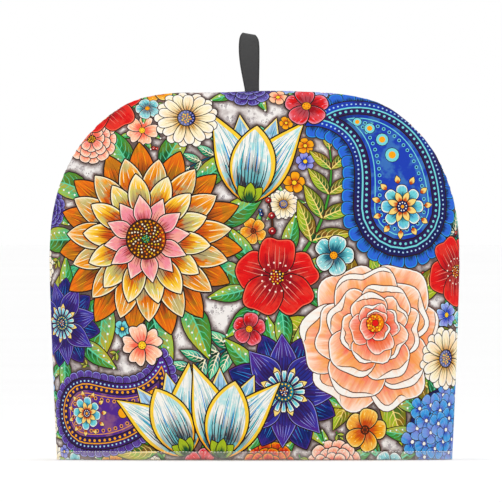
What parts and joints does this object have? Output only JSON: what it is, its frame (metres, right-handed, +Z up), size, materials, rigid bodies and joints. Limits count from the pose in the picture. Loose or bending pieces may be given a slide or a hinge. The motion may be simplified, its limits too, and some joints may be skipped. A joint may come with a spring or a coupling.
{
  "type": "tea cosy",
  "caption": "Dome-shaped padded cloth cover that stands open on its hem over a teapot, sewn from printed panels along an arched seam, with a tape loop at the top to hang it by.",
  "frame": {"origin": "on the surface the cosy stands on, under the middle of its mouth", "axes": "+Z up, +X to the right seen from the front, the front panel faces -Y"},
  "size_m": [0.3, 0.1032, 0.3125],
  "materials": {
    "printed_cotton": "matt cotton, printed all over with flowers and leaves, padded",
    "dark_tape": "woven tape, charcoal grey"
  },
  "bodies": {
    "root": {"front_panel": "printed_cotton", "back_panel": "printed_cotton", "hanging_loop": "dark_tape"}
  },
  "joints": []
}
